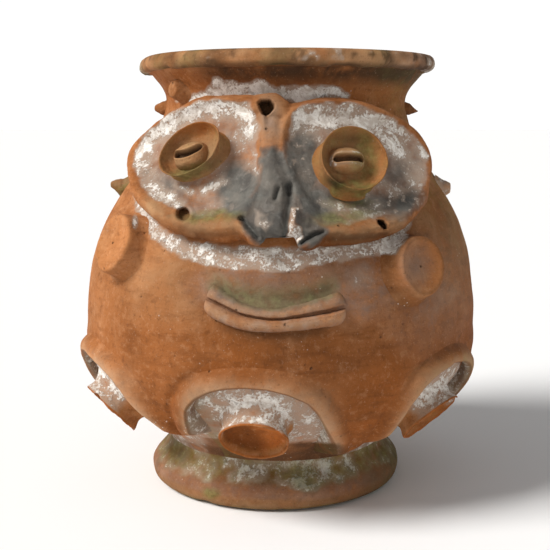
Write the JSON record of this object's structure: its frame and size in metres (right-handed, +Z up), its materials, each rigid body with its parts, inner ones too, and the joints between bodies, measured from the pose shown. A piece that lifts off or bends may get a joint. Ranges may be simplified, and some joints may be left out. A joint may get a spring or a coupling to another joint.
{
  "type": "bird jar",
  "caption": "Hand-built terracotta storage jar: owl-like mask on the shoulder, smiling mouth, ear discs, arched hoods over cups round the belly, flared foot and out-turned lip.",
  "frame": {"origin": "on the ground, under the middle of the jar's outline", "axes": "+Z up, the mask looks towards -Y, +X to the viewer's right"},
  "size_m": [0.38, 0.3904, 0.402],
  "materials": {
    "clay": "matt, low-fired terracotta, worn and pitted",
    "dark_clay": "matt, smoke-darkened terracotta",
    "limed_clay": "chalky lime worn through to the clay",
    "grey_pigment": "rubbed grey pigment on clay, slightly smooth",
    "buff_clay": "matt buff clay with thin algae"
  },
  "bodies": {
    "root": {"foot_ring": "buff_clay", "belly": "clay", "neck_collar": "dark_clay", "lip_rim": "buff_clay", "face_mask": "limed_clay", "beak_ridge": "grey_pigment", "nostril_wing_left": "grey_pigment", "nostril_wing_right": "grey_pigment", "eye_cup_left": "buff_clay", "eye_cup_right": "buff_clay", "eye_boss_left": "buff_clay", "eye_boss_right": "buff_clay", "ear_disc_left": "clay", "ear_disc_right": "clay", "neck_lug_left": "dark_clay", "neck_lug_right": "dark_clay", "shoulder_spike_left": "clay", "shoulder_spike_right": "clay", "neck_knob": "dark_clay", "mouth_upper_lip": "clay", "mouth_lower_lip": "clay", "wall_cup_1": "clay", "arch_hood_1": "clay", "wall_cup_2": "clay", "arch_hood_2": "clay", "wall_cup_3": "clay", "arch_hood_3": "clay", "wall_cup_4": "clay", "arch_hood_4": "clay", "wall_cup_5": "clay", "arch_hood_5": "clay", "wall_cup_6": "clay", "arch_hood_6": "clay"}
  },
  "joints": []
}
